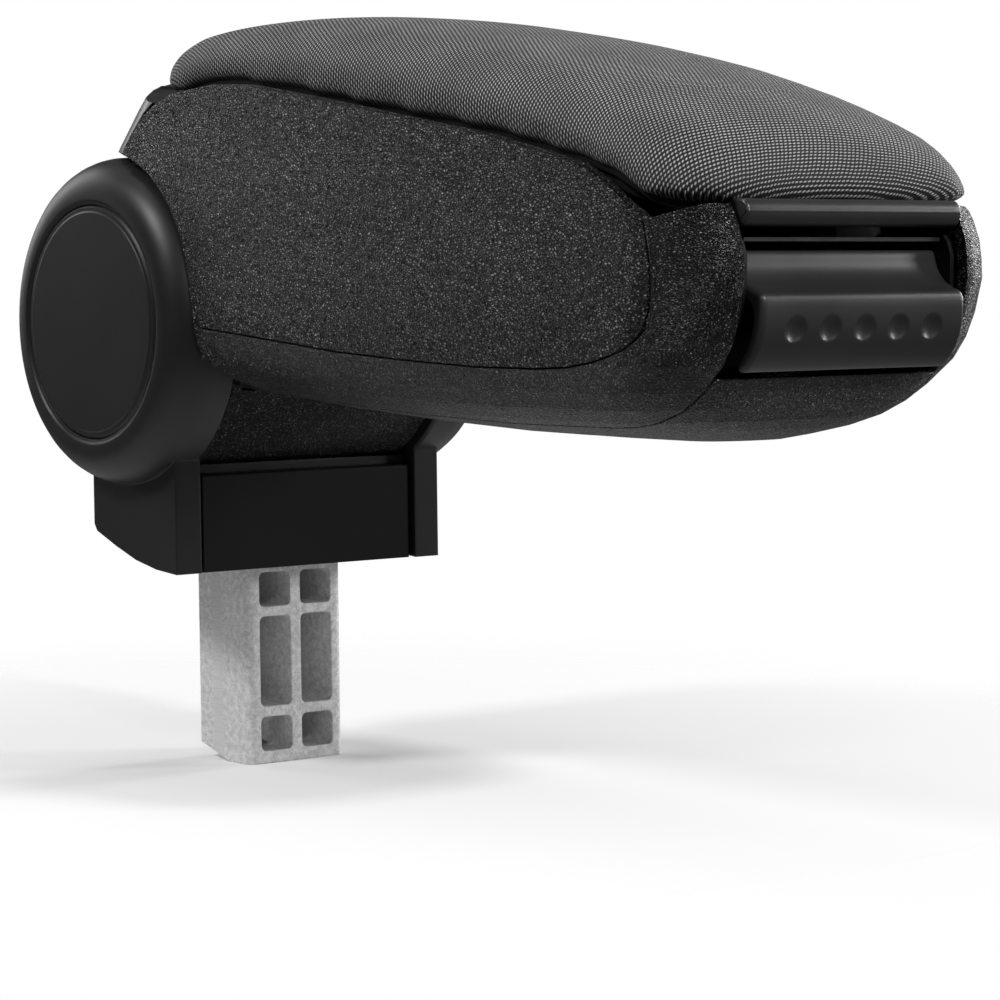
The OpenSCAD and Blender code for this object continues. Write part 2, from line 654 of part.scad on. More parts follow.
// Release lever: thumb grip with dimples, concave finger surface, hook and pin arms
lever_outline = [[7.9, -24.8], [9.5, -25], [13, -21.5], [15.9, -16], [16.7, -11], [16.7, -6.6],
  [15.7, -5.2], [12.9, -4.2], [9.7, -2.2], [7.4, 1], [6.5, 5], [4.9, 5.6], [4.1, 4.6], [4.7, 0],
  [7.1, -3.8], [10.9, -6.6], [13.1, -8.6], [13.3, -12], [12.1, -17], [9.1, -21.6], [7.1, -23.6]];
lever_face_x = lever_x + 16;
dimple_z = -3.6;
dimple_ball = (dimple_r * dimple_r + dimple_depth * dimple_depth) / (2 * dimple_depth);
ball_x = lever_face_x - dimple_depth + dimple_ball;
lever_arm_y = 26;
lever_arm_half_t = 1.4;
module release_lever() {
  color([0.2, 0.2, 0.21]) at_pivot() difference() {
    union() {
      intersection() {
        translate([lever_x, 0, lever_z]) side_prism(lever_outline, -lever_half_w, lever_half_w);
        rotate([90, 0, 90]) translate([0, 2.2, 200]) rounded_bar(2 * lever_half_w, 31.6, 100, 2);
      }
      for (y = [-lever_arm_y, lever_arm_y]) {
        cross_cylinder(4.2, y - lever_arm_half_t, y + lever_arm_half_t, lever_x, lever_z);
        translate([lever_x, 0, lever_z]) side_prism([[-2, -3.6], [6, -8], [13.1, -12], [13.5, -8],
          [10.5, -4.4], [5.5, 2], [0, 4.1]], y - lever_arm_half_t, y + lever_arm_half_t);
      }
      translate([hook_x, 0, 0]) side_prism([[4.9, 17], [4, 17.5], [1.4, 18.6], [1.2, 25.6], [-2.6, 25.6],
        [-2.6, 24.4], [-0.8, 23.6], [-0.8, 17], [3.8, 13]], -4, 4);
    }
    for (i = [0 : dimple_count - 1])
      translate([ball_x, (i - (dimple_count - 1) / 2) * dimple_pitch, dimple_z]) sphere(dimple_ball);
    cross_cylinder(lever_pin_r + running_clear, -far, far, lever_x, lever_z);
  }
}
module lever_pin() {
  color([0.7, 0.7, 0.72]) at_pivot() cross_cylinder(lever_pin_r, -31.5, 31.5, lever_x, lever_z);
}
spring_turns = 6;
wire_r = 0.8;
module lever_spring() {
  color([0.55, 0.55, 0.57]) at_pivot() for (i = [0 : spring_turns - 1])
    translate([lever_x, 10 + 1.5 * i, lever_z]) rotate([90, 0, 0]) rotate_extrude()
      translate([lever_pin_r + wire_r + 0.3, 0]) circle(wire_r);
}
plate_front = lever_x + 8.8;
plate_half_w = lever_half_w - 0.3;
plate_z = 19.6;
module latch_plate() {
  color([0.3, 0.3, 0.31]) at_pivot() difference() {
    translate([tray_front, -plate_half_w, plate_z]) cube([plate_front - tray_front, 2 * plate_half_w, 1]);
    translate([hook_x - 8, -6.5, 10]) cube([plate_front - 2.4 - hook_x + 8, 13, 20]);
  }
}

module left_arm_cover() {
  left_of() right_arm_cover();
}
module left_cap() {
  left_of() right_cap();
}
module left_bush() {
  left_of() right_bush();
}
module left_washer() {
  left_of() right_washer();
}
module left_side_shell() {
  left_of() right_side_shell();
}
module left_inlay() {
  left_of() right_inlay();
}

right_arm_cover();
left_arm_cover();
right_cap();
left_cap();
post_casting();
front_plate();
rear_plate();
base_floor();
saddle_cover();
floor_screws();
pivot_shaft();
right_bush();
left_bush();
right_washer();
left_washer();
lower_shell();
right_side_shell();
left_side_shell();
right_inlay();
left_inlay();
storage_tray();
rear_cover();
latch_plate();
lever_pin();
lever_spring();
tray_screws();
lid_hinge_pin();
lid_base();
pad();
front_bar();
release_lever();
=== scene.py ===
from math import cos, pi, radians, sin

import bpy
import numpy as np
from mathutils import Matrix, Vector


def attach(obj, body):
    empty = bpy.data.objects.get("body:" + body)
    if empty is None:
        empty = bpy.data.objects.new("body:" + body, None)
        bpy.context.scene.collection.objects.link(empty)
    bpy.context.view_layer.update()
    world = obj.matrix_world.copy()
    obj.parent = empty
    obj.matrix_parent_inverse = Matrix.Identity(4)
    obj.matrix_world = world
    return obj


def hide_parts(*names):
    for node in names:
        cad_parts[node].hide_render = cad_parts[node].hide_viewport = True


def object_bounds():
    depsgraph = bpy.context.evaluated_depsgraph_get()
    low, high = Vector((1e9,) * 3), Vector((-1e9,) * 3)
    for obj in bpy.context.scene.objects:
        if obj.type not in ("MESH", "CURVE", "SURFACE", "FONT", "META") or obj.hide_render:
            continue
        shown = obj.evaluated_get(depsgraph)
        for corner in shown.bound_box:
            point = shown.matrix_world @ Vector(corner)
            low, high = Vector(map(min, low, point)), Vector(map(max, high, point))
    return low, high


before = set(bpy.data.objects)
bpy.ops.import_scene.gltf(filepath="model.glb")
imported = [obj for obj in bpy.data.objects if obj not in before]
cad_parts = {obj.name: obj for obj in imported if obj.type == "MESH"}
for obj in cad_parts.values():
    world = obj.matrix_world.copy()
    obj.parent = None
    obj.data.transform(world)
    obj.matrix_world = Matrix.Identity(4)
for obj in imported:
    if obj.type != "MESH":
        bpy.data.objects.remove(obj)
cad_box = [list(corner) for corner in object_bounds()]

# Camera. It stands to the right of the latch end, a little above the armrest's
# middle, and looks back along the part with a long lens.
azimuth, elevation, roll = radians(50.895), radians(3.678), radians(-0.685)
ahead = Vector((-sin(azimuth) * cos(elevation), cos(azimuth) * cos(elevation), -sin(elevation)))
level_right = Vector((cos(azimuth), sin(azimuth), 0))
level_up = level_right.cross(ahead)
view_right = level_right * cos(roll) + level_up * sin(roll)
view_up = level_up * cos(roll) - level_right * sin(roll)
camera_place = Vector((0.8460, -0.5928, 0.0846))
film_width = 36
lens_length = 3.26681 * film_width

camera = bpy.data.objects.new("camera", bpy.data.cameras.new("camera"))
camera.data.sensor_width = film_width
camera.data.lens = lens_length
camera_turn = Matrix((view_right, view_up, -ahead)).transposed().to_4x4()
camera.matrix_world = Matrix.Translation(camera_place) @ camera_turn
bpy.context.collection.objects.link(camera)
bpy.context.scene.camera = camera

# Studio. The post stands on a pale floor that fades into a white room. Large
# soft lamps hang round the part, and the room itself gives a weak fill light.


class Wire:
    """A socket in a material. Arithmetic on it adds the Math node of that name."""

    def __init__(self, finish, socket):
        self.finish = finish
        self.socket = socket

    def math(self, operation, *values):
        inputs = {place: value for place, value in enumerate(values)}
        return self.finish.node("ShaderNodeMath", {"operation": operation}, inputs)

    def __add__(self, other):
        return self.math("ADD", self, other)

    def __radd__(self, other):
        return self.math("ADD", other, self)

    def __sub__(self, other):
        return self.math("SUBTRACT", self, other)

    def __rsub__(self, other):
        return self.math("SUBTRACT", other, self)

    def __mul__(self, other):
        return self.math("MULTIPLY", self, other)

    def __rmul__(self, other):
        return self.math("MULTIPLY", other, self)

    def __truediv__(self, other):
        return self.math("DIVIDE", self, other)

    def __pow__(self, other):
        return self.math("POWER", self, other)

    def clipped(self):
        return self.math("MINIMUM", self.math("MAXIMUM", self, 0.0), 1.0)


class Finish:
    """A material under construction: its nodes, and the shader that they feed."""

    def __init__(self, name, **constants):
        self.material = bpy.data.materials.new(name)
        self.material.use_nodes = True
        self.tree = self.material.node_tree
        self.shader = self.tree.nodes["Principled BSDF"]
        for socket, value in constants.items():
            self.shader.inputs[socket.replace("_", " ")].default_value = value

    def node(self, kind, settings=None, inputs=None, output=0):
        """Adds one node: its settings first, then the values or links of its sockets. Gives
        back the socket of the output that is asked for."""
        node = self.tree.nodes.new(kind)
        for name, value in (settings or {}).items():
            setattr(node, name, value)
        for name, value in (inputs or {}).items():
            if isinstance(value, Wire):
                self.tree.links.new(value.socket, node.inputs[name])
            else:
                node.inputs[name].default_value = value
        return Wire(self, node.outputs[output])

    def feed(self, socket, value):
        """Links a value that changes over the surface to the shader."""
        self.tree.links.new(value.socket, self.shader.inputs[socket])

    def place(self):
        """Object coordinates, in metres in the part's own frame."""
        return self.node("ShaderNodeTexCoord", output="Object")

    def vector(self, operation, a, b):
        return self.node("ShaderNodeVectorMath", {"operation": operation}, {0: a, 1: b})

    def scaled(self, a, amount):
        inputs = {0: a, "Scale": amount}
        return self.node("ShaderNodeVectorMath", {"operation": "SCALE"}, inputs)

    def noise(self, place, size, detail=2.0, rough=0.5, output=0):
        """Noise whose blobs are about size metres wide."""
        inputs = {"Vector": place, "Scale": 1 / size, "Detail": detail, "Roughness": rough}
        return self.node("ShaderNodeTexNoise", None, inputs, output)

    def tint(self, mask, low, high):
        """Mixes two colours by a mask."""
        inputs = {"Factor": mask, "A": (*low, 1), "B": (*high, 1)}
        return self.node("ShaderNodeMix", {"data_type": "RGBA"}, inputs, 2)

    def bump(self, height, depth, strength=1.0, normal=None):
        """Relief of the given depth in metres, on the normals given or the surface's own."""
        inputs = {"Height": height, "Distance": depth, "Strength": strength}
        if normal is not None:
            inputs["Normal"] = normal
        return self.node("ShaderNodeBump", None, inputs)

    def rounded(self, radius):
        """Normals that round every edge by the given radius."""
        return self.node("ShaderNodeBevel", {"samples": 4}, {"Radius": radius})


floor_z = cad_box[0][2]
floor_half = 3.0
fade_start, fade_length = 0.03, 0.34
round_the_floor = ((-1, -1), (1, -1), (1, 1), (-1, 1))
floor_corners = [(x * floor_half, y * floor_half, floor_z) for x, y in round_the_floor]
floor_mesh = bpy.data.meshes.new("floor")
floor_mesh.from_pydata(floor_corners, [], [(0, 1, 2, 3)])
floor = bpy.data.objects.new("floor", floor_mesh)
bpy.context.collection.objects.link(floor)
pale = Finish("pale floor", Base_Color=(0.9, 0.9, 0.9, 1), Roughness=0.8, Specular_IOR_Level=0.1)
reach = pale.node("ShaderNodeVectorMath", {"operation": "LENGTH"}, {0: pale.place()}, "Value")
pale.feed("Alpha", 1 - ((reach - fade_start) / fade_length).clipped())
floor_mesh.materials.append(pale.material)

# The camera sees the room in full white; the part is lit by a small share of it.
world = bpy.data.worlds.new("white room")
world.use_nodes = True
bpy.context.scene.world = world
room = world.node_tree
room_share = 0.07
rays = room.nodes.new("ShaderNodeLightPath")
brightness = room.nodes.new("ShaderNodeMath")
brightness.operation = "MULTIPLY_ADD"
brightness.inputs[1].default_value = 1 - room_share
brightness.inputs[2].default_value = room_share
room.links.new(rays.outputs["Is Camera Ray"], brightness.inputs[0])
background = room.nodes["Background"]
background.inputs["Color"].default_value = (1, 1, 1, 1)
room.links.new(brightness.outputs[0], background.inputs["Strength"])

# Each lamp: how far it hangs to the right of, above and beyond the part's middle as the
# camera sees it, its width and height, all in metres, and its power in watts.
part_middle = Vector((0.12, 0, 0.08))
lamps = {
    "key": ((-0.95, 0.9, -0.5), (0.25, 0.25), 10.0),
    "near": ((0.05, 0.6, -1.3), (0.12, 0.12), 2.0),
    "front": ((0.8, 0.68, -0.85), (0.12, 0.12), 10.0),
    "side": ((1.25, 0.4, 0.2), (0.2, 0.5), 5.5),
    "rim": ((1.0, 0.4, 0.95), (0.25, 0.6), 9.0),
    "top": ((-0.2, 1.2, 0.3), (0.8, 0.4), 3.0),
    "rear": ((-1.0, 0.5, 0.9), (0.5, 0.8), 4.0),
}
for lamp_name, (offset, (wide, high), power) in lamps.items():
    lamp = bpy.data.lights.new(lamp_name, "AREA")
    lamp.shape = "RECTANGLE"
    lamp.size = wide
    lamp.size_y = high
    lamp.energy = power
    stand = bpy.data.objects.new(lamp_name, lamp)
    spot = part_middle + view_right * offset[0] + view_up * offset[1] + ahead * offset[2]
    aim = (part_middle - spot).to_track_quat("-Z", "Y").to_matrix().to_4x4()
    stand.matrix_world = Matrix.Translation(spot) @ aim
    bpy.context.collection.objects.link(stand)

# Pad. Foam on the lid's plate, pulled tight in a dark woven mesh that wraps
# round its lower edge. The cover is blown up as cloth from just inside its form.
# Shapes are in mm and count from the pivot of the tilt hinge; textures are in metres.
pivot = np.array((-3.9, 0.0, 76.3))
parting = np.array((
    (20, 68.5), (40, 69), (60, 70.3), (80, 69), (105, 65), (128, 61), (150, 57), (187, 50.5),
    (206, 46), (224, 41.5), (233, 38.5), (240, 35), (245, 31.5), (250, 29.5), (290, 29.5),
))
crown = np.array((
    (15, 0.92), (27, 0.955), (40, 0.99), (55, 1), (80, 0.995), (115, 0.955), (155, 0.88),
    (190, 0.795), (220, 0.695), (244, 0.59), (258, 0.5), (270, 0.42),
))
pad_half_width, pad_front, pad_rear, pad_top = 57.2, 264.2, 20.0, 90.0
front_corner, rear_corner, least_corner, side_bow = 21.0, 20.0, 0.6, 1.8
crown_radius, hem_drop = 300, 1.3
edge_points, side_points, nose_points = 9, 41, 15


def pad_outline(inset):
    """Outline seen from above, moved in by the inset. The right half is a straight rear, a
    round rear corner, a side that bows out as half a sine wave, a round front corner and a
    straight front; the left half mirrors it."""
    w = pad_half_width - inset
    rear, front = pad_rear + inset, pad_front - inset
    r0, r1 = max(rear_corner - inset, least_corner), max(front_corner - inset, least_corner)
    t = np.linspace(0, 1, edge_points)[:, None]
    edge = np.hstack((0 * t + rear, -(w - r0) * t))
    a = np.linspace(0, pi / 2, edge_points)[1:, None]
    back = np.hstack((rear + r0 - r0 * np.cos(a), r0 - w - r0 * np.sin(a)))
    t = np.linspace(0, 1, side_points)[1:, None]
    side = np.hstack((rear + r0 + (front - r1 - rear - r0) * t, -w - side_bow * np.sin(pi * t)))
    a = np.linspace(0, pi / 2, nose_points)[1:, None]
    nose = np.hstack((front - r1 + r1 * np.sin(a), r1 - w - r1 * np.cos(a)))
    t = np.linspace(0, 1, edge_points)[1:, None]
    brow = np.hstack((0 * t + front, (r1 - w) * (1 - t)))
    half = np.vstack((edge, back, side, nose, brow))
    return np.vstack((half, half[-2:0:-1] * (1, -1)))


def crown_level(x, y):
    """Height of the pad's top: a long ridge line, less a shallow parabola across it whose
    middle is as round as a circle of crown_radius."""
    return pad_top * np.interp(x, crown[:, 0], crown[:, 1]) - y * y / (2 * crown_radius)


def hem_level(x):
    """Height of the pad's lower edge: a little below the parting line."""
    return np.interp(x, parting[:, 0], parting[:, 1]) - hem_drop


def pad_grid(swell):
    """Outlines one above the other, from the hem to the ridge: each is moved in by its
    inset, and climbs its share of the way from the hem's level to the crown's. Sides and
    top start inside the form by the swell that the cloth then takes up."""
    insets = np.array((4, 2.4, 0.6, -0.4, 0, 1, 2.6, 4.6, 7.2, 11, 18, 28, 42, 55)) + swell
    climb = np.array((0, -0.04, -0.03, 0.08, 0.28, 0.48, 0.65, 0.8, 0.9, 0.955, 0.99, 1, 1, 1))
    flat = np.array([pad_outline(inset) for inset in insets])
    low = hem_level(flat[..., 0])
    high = crown_level(flat[..., 0], flat[..., 1]) - swell
    z = low + (high - low) * climb[:, None]
    return np.dstack((flat, z))


def ring_faces(rings, places):
    """Four-cornered faces that join each closed ring of points to the next one: places i
    and i + 1 on a ring, then i + 1 and i on the ring after it."""
    k, i = np.meshgrid(np.arange(rings - 1) * places, np.arange(places), indexing="ij")
    j = (i + 1) % places
    return np.stack((k + i, k + j, k + places + j, k + places + i), -1).reshape(-1, 4)


def pad_mesh(grid):
    """A closed mesh of the pad's rings. The first and the last ring are filled by strips
    between mirrored points, with a triangle at both ends."""
    m, n = grid.shape[:2]
    i = np.arange(1, n // 2 - 1)
    strips = np.stack((i, n - i, n - 1 - i, i + 1), -1)
    ends = np.array(((0, n - 1, 1), (n // 2, n // 2 - 1, n // 2 + 1)))
    last = (m - 1) * n
    faces = ring_faces(m, n).tolist() + strips.tolist() + (strips[:, ::-1] + last).tolist()
    faces += ends.tolist() + (ends[:, ::-1] + last).tolist()
    mesh = bpy.data.meshes.new("pad cover")
    mesh.from_pydata(((grid.reshape(-1, 3) + pivot) / 1000).tolist(), [], faces)
    mesh.validate()
    return mesh


def add_piece(name, mesh, body, finish):
    """A finished piece: its mesh in the part's frame, riding on a body."""
    piece = bpy.data.objects.new(name, mesh)
    bpy.context.collection.objects.link(piece)
    mesh.materials.append(finish.material)
    mesh.polygons.foreach_set("use_smooth", np.ones(len(mesh.polygons), bool))
    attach(piece, body)
    return piece


def apply_modifiers(piece):
    """Turns what the modifiers make into the piece's own mesh."""
    graph = bpy.context.evaluated_depsgraph_get()
    made = bpy.data.meshes.new_from_object(piece.evaluated_get(graph))
    piece.modifiers.clear()
    piece.data = made


def even_out(piece, name):
    """Moves each point half way to the middle of its neighbours, six times over."""
    smooth = piece.modifiers.new(name, "SMOOTH")
    smooth.factor = 0.5
    smooth.iterations = 6


def points_of(mesh):
    """The places of a mesh's points in metres, one row for each."""
    flat = np.empty(len(mesh.vertices) * 3)
    mesh.vertices.foreach_get("co", flat)
    return flat.reshape(-1, 3)


cloth_mesh_size, swell, swell_limit = 4, 0.7, 5
hem_width, air_pressure, cloth_steps = 3, 4, 20
cover = bpy.data.objects.new("pad cover", pad_mesh(pad_grid(swell)))
bpy.context.collection.objects.link(cover)
remesh = cover.modifiers.new("even cloth", "REMESH")
remesh.mode = "VOXEL"
remesh.voxel_size = cloth_mesh_size / 1000
even_out(cover, "level")
apply_modifiers(cover)
at_rest = points_of(cover.data)
x, _, z = (at_rest * 1000 - pivot).T
hem = np.nonzero(z < hem_level(x) + hem_width)[0]
held = cover.vertex_groups.new(name="held")
held.add(hem.tolist(), 1.0, "ADD")
cloth = cover.modifiers.new("cover", "CLOTH")
cloth.settings.use_pressure = True
cloth.settings.uniform_pressure_force = air_pressure
cloth.settings.effector_weights.gravity = 0
cloth.settings.vertex_group_mass = "held"
for step in range(1, cloth_steps + 1):
    bpy.context.scene.frame_set(step)
apply_modifiers(cover)
moved = points_of(cover.data) - at_rest
far = np.linalg.norm(moved, axis=1, keepdims=True)
settled = at_rest + moved * np.minimum(1, swell_limit / 1000 / np.maximum(far, 1e-9))
cover.data.vertices.foreach_set("co", settled.ravel())
bpy.context.scene.frame_set(1)
even_out(cover, "even")
finer = cover.modifiers.new("finer", "SUBSURF")
finer.levels = finer.render_levels = 1
apply_modifiers(cover)

# The weave: rows of oval beads of yarn, every second row half a loop further on. Their
# pitches run along the cover, and a bead's half sizes are shares of its pitches.
weave = Finish("woven mesh", Roughness=0.75, Sheen_Weight=0.04)
row_pitch, loop_pitch = 0.00112, 0.0015
bead_half_width, bead_half_length, bead_slant, bead_relief = 0.33, 0.44, 0.8, 0.0005
drift_size, wear_size, fibre_size = 0.006, 0.02, 0.0002
gap_shade_black, painted_highlight_grey = (0.0003, 0.0003, 0.0003), (0.62, 0.62, 0.63)
thread = weave.node("ShaderNodeAttribute", {"attribute_name": "thread"}, output="Vector")
along = weave.node("ShaderNodeSeparateXYZ", None, {0: thread}, 0)
girth = weave.node("ShaderNodeSeparateXYZ", None, {0: thread}, 1)
drift = weave.noise(thread, drift_size, 1.0) - 0.5
rows = along / row_pitch + drift * 0.5
row = rows.math("FLOOR", rows)
across_row = rows - row - 0.5
loops = girth / loop_pitch + row.math("FRACT", row * 0.5) + across_row * bead_slant
along_row = loops.math("FRACT", loops) - 0.5
bead = (1 - (across_row / bead_half_width) ** 2 - (along_row / bead_half_length) ** 2).clipped()
wear = weave.noise(thread, wear_size, 2.0)
fibre = weave.noise(thread, fibre_size, 2.0)
# Painted highlight and shade: each bead of the dark mesh is painted pale grey at its middle, fading
# to black at its rim and in the gaps between beads; wear and fibre vary it at random.
painted_bead_light = (bead ** 1.1) * (0.2 + 0.6 * wear + 0.7 * fibre)
weave.feed("Base Color", weave.tint(painted_bead_light, gap_shade_black, painted_highlight_grey))
weave.feed("Normal", weave.bump(bead ** 0.5, bead_relief))


def thread_field(points):
    """The cover's own coordinates: the place seen from above, pushed outwards by how far
    the cloth has dropped below the crown, so the rows run on over the edges. The push
    turns from front or rear to the side by how far a place lies within bend of each."""
    x, y, z = (points * 1000 - pivot).T
    drop = np.maximum(crown_level(x, y) - z, 0)
    bend = 40
    to_front = np.clip((x - pad_front + bend) / bend, 0, 1)
    to_rear = np.clip((pad_rear + bend - x) / bend, 0, 1)
    nose = to_front - to_rear
    side = np.sign(y) * np.clip((abs(y) - pad_half_width + bend) / bend, 0, 1)
    size = np.maximum(np.hypot(nose, side), 1e-6)
    return np.stack((x + drop * nose / size, y + drop * side / size, 0 * x), 1) / 1000


cover_mesh = cover.data
bpy.data.objects.remove(cover)
field = cover_mesh.attributes.new("thread", "FLOAT_VECTOR", "POINT")
field.data.foreach_set("vector", thread_field(points_of(cover_mesh)).ravel())
pad_piece = add_piece("pad_cover", cover_mesh, "lid", weave)
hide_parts("pad")

# Shells and side panels. Moulded black plastic with a fine leather grain, with
# glints painted pale into its colour; the panels sit in the shells with a thin gap around.
weld_distance = 0.01


def dress(finish, *names, angle=28):
    """Gives nodes a finish, and shades them smoothly across every edge that bends by less
    than the angle in degrees. With angle 0 their points stay unmerged and each face keeps
    its own shading."""
    for name in names:
        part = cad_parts[name]
        part.data.materials.clear()
        part.data.materials.append(finish.material)
        part.data.polygons.foreach_set("use_smooth", np.ones(len(part.data.polygons), bool))
        if not angle:
            continue
        weld = part.modifiers.new("weld", "WELD")
        weld.merge_threshold = weld_distance / 1000
        sharp = part.modifiers.new("sharp edges", "EDGE_SPLIT")
        sharp.split_angle = radians(angle)


def grained(name, painted_glint_colour, gloss, grain_size, edge_radius):
    """Leather grain: small warped pebbles with dark valleys between, longer than wide and
    slanting, each tilted a little its own way. The top of most pebbles is painted a paler
    colour, a painted glint that shows under any light."""
    shade, streak_lean, streak_shape = (0.002, 0.002, 0.0021), radians(35), (0.75, 1, 1.35)
    patch_size, grain_depth, pebble_tilt = 0.03, 0.0004, 0.4
    finish = Finish(name, Specular_IOR_Level=gloss)
    place = finish.place()
    warp = finish.noise(place, grain_size * 1.5, 1.0, output="Color")
    pushed = finish.vector("ADD", place, finish.scaled(warp, grain_size * 0.9))
    leant = {"Vector": pushed, "Rotation": (0, streak_lean, 0), "Scale": streak_shape}
    streaks = finish.node("ShaderNodeMapping", None, leant)
    inputs = {"Vector": streaks, "Scale": 1 / grain_size}
    rim = finish.node("ShaderNodeTexVoronoi", {"feature": "DISTANCE_TO_EDGE"}, inputs)
    lean = finish.node("ShaderNodeTexVoronoi", {"feature": "F1"}, inputs, "Color")
    pebble = (rim * 3.5).clipped()
    luck = finish.noise(place, grain_size * 1.3, 1.0)
    # Painted glint: a pale colour on the tops of most pebbles, stronger in broad patches.
    painted_glint_mask = ((rim - 0.2) * 9).clipped() * (0.2 + 0.8 * ((luck - 0.42) * 5).clipped())
    patch = finish.noise(place, patch_size, 1.0)
    finish.feed("Base Color", finish.tint(painted_glint_mask * (0.2 + 0.8 * patch), shade, painted_glint_colour))
    finish.feed("Roughness", 0.45 - 0.2 * pebble)
    relief = finish.bump(pebble, grain_depth, 1.0, finish.rounded(edge_radius))
    tilt = finish.scaled(finish.vector("SUBTRACT", lean, (0.5, 0.5, 0.5)), pebble_tilt)
    tilted = finish.vector("ADD", relief, tilt)
    finish.feed("Normal", finish.vector("NORMALIZE", tilted, (0, 0, 0)))
    return finish


belly = np.array((
    (-30, -18), (30, -20), (60, -23.5), (100, -27), (145, -30), (190, -32), (225, -32), (270, -31),
))
nose_line = np.array((
    (-31, 230), (-30, 236), (-28, 241.5), (-25.3, 246.5), (-21.5, 250.5), (-16, 255), (-10.5, 259.8),
    (-5.5, 262.1), (0, 263.9), (4, 265), (8, 265.8), (11, 266), (15, 265.9), (20, 265.3), (24, 264),
    (27, 262.3), (29.5, 260.8),
))
form_rear, form_half_width, widest_level, lowest_front = -30, 58, 10, -31
belly_power, lean_rise = 3.2, 30
shell_corner, corner_growth = 21, 6


def shell_depth(points):
    """How far points lie outside the armrest's form, measured level by level. Seen from above
    each level is a bar with round front corners and sides that bow out as half a sine wave;
    its width shrinks as a superellipse below the widest line and leans in above it, by one
    part for lean_rise parts up. g goes from 0 at the widest line to 1 at the belly."""
    x, y, z = points.T
    lowest = np.interp(x, belly[:, 0], belly[:, 1])
    g = np.clip((widest_level - z) / (widest_level - lowest), 0, 0.9999)
    width = form_half_width * (1 - g ** belly_power) ** (1 / belly_power)
    width = width - np.maximum(z - widest_level, 0) / lean_rise
    nose_level = np.where(z < widest_level, widest_level - (widest_level - lowest_front) * g, z)
    front = np.interp(nose_level, nose_line[:, 0], nose_line[:, 1])
    r = np.maximum(np.minimum(shell_corner + corner_growth * g, width - 1), 0.1)
    start = front - r
    along_side = np.clip((x - form_rear) / (start - form_rear), 0, 1)
    bowed = width + side_bow * np.sin(pi * along_side)
    ahead_by, aside_by = x - start, abs(y) - bowed + r
    round_part = np.hypot(np.maximum(ahead_by, 0), np.maximum(aside_by, 0))
    return round_part + np.minimum(np.maximum(ahead_by, aside_by), 0) - r


def shade_as_form(*names):
    """Lights the faces that lie along the armrest's form with the normals of the true curved
    form: the slope of its depth, taken over a probe's length both ways. Faces that turn
    further from it, or lie further off, keep their own."""
    probe, most_turned, furthest = 0.4, radians(30), 3
    for name in names:
        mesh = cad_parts[name].data
        corners = np.empty(len(mesh.loops), np.int64)
        mesh.loops.foreach_get("vertex_index", corners)
        flat = np.empty(len(mesh.polygons) * 3)
        mesh.polygons.foreach_get("normal", flat)
        sides = np.empty(len(mesh.polygons), np.int64)
        mesh.polygons.foreach_get("loop_total", sides)
        own = np.repeat(flat.reshape(-1, 3), sides, axis=0)
        spots = points_of(mesh)[corners] * 1000 - pivot
        steps = probe * np.eye(3)
        slope = np.stack([shell_depth(spots + e) - shell_depth(spots - e) for e in steps], 1)
        slope /= np.maximum(np.linalg.norm(slope, axis=1, keepdims=True), 1e-9)
        facing = np.sum(slope * own, 1)[:, None]
        curved = np.where(facing < 0, -slope, slope)
        near = (abs(shell_depth(spots)) < furthest)[:, None]
        normals = np.where(near & (abs(facing) > cos(most_turned)), curved, own)
        mesh.normals_split_custom_set(normals.tolist())


shell_grain = grained(
    "leather grained plastic", painted_glint_colour=(0.45, 0.45, 0.46), gloss=0.3, grain_size=0.0007,
    edge_radius=0.001,
)
dress(shell_grain, "right_side_shell", "left_side_shell", "lower_shell", angle=0)
panel_grain = grained(
    "leather grained panel", painted_glint_colour=(0.6, 0.6, 0.61), gloss=0.2, grain_size=0.00085,
    edge_radius=0.0012,
)
dress(panel_grain, "right_inlay", "left_inlay", angle=0)
shade_as_form("right_side_shell", "left_side_shell", "right_inlay", "left_inlay", "lower_shell")

# Arms and their caps. Moulded with a fine satin texture that spreads one broad
# highlight over the rounded edges; the caps snap into the drums.


def satin(name, shade, grain_size, depth, rough, edge_radius, gloss=0.4):
    """Fine even texture of soft bumps, with faint cloudy changes of gloss and shade."""
    cloud_size, paler = 0.02, 1.35
    finish = Finish(name, Specular_IOR_Level=gloss)
    place = finish.place()
    fine = finish.noise(place, grain_size, 2.0)
    cloud = finish.noise(place, cloud_size, 3.0)
    high = tuple(paler * value for value in shade)
    finish.feed("Base Color", finish.tint(0.6 * fine + 0.4 * cloud, shade, high))
    finish.feed("Roughness", rough - 0.06 + 0.12 * cloud)
    finish.feed("Normal", finish.bump(fine, depth, 0.6, finish.rounded(edge_radius)))
    return finish


arm_satin = satin(
    "satin arm plastic", (0.011, 0.011, 0.0112), grain_size=0.0003, depth=0.00004, rough=0.42,
    edge_radius=0.0008,
)
dress(arm_satin, "right_arm_cover", "left_arm_cover", "saddle_cover", "base_floor", "rear_plate")
cap_satin = satin(
    "satin cap plastic", (0.012, 0.012, 0.0122), grain_size=0.0003, depth=0.00003, rough=0.4,
    edge_radius=0.0004,
)
dress(cap_satin, "right_cap", "left_cap")
plate_black = satin(
    "smooth black plate", (0.004, 0.004, 0.0041), grain_size=0.0004, depth=0.00001, rough=0.5,
    edge_radius=0.0005, gloss=0.2,
)
dress(plate_black, "front_plate")

# Rear cover, tray and lid plate. The cover is smooth satin plastic; the tray
# and the plate under the pad are black plastic, darkened further as painted shade for the gaps they
# sit in.
smooth_satin = satin(
    "smooth satin plastic", (0.021, 0.021, 0.0213), grain_size=0.00045, depth=0.00002,
    rough=0.34, edge_radius=0.0006, gloss=0.55,
)
dress(smooth_satin, "rear_cover", angle=38)
inner_black_and_shade = satin(
    "inner black plastic", (0.003, 0.003, 0.0031), grain_size=0.0006, depth=0.00005, rough=0.6,
    edge_radius=0.0006, gloss=0.2,
)
dress(inner_black_and_shade, "storage_tray", "lid_base")

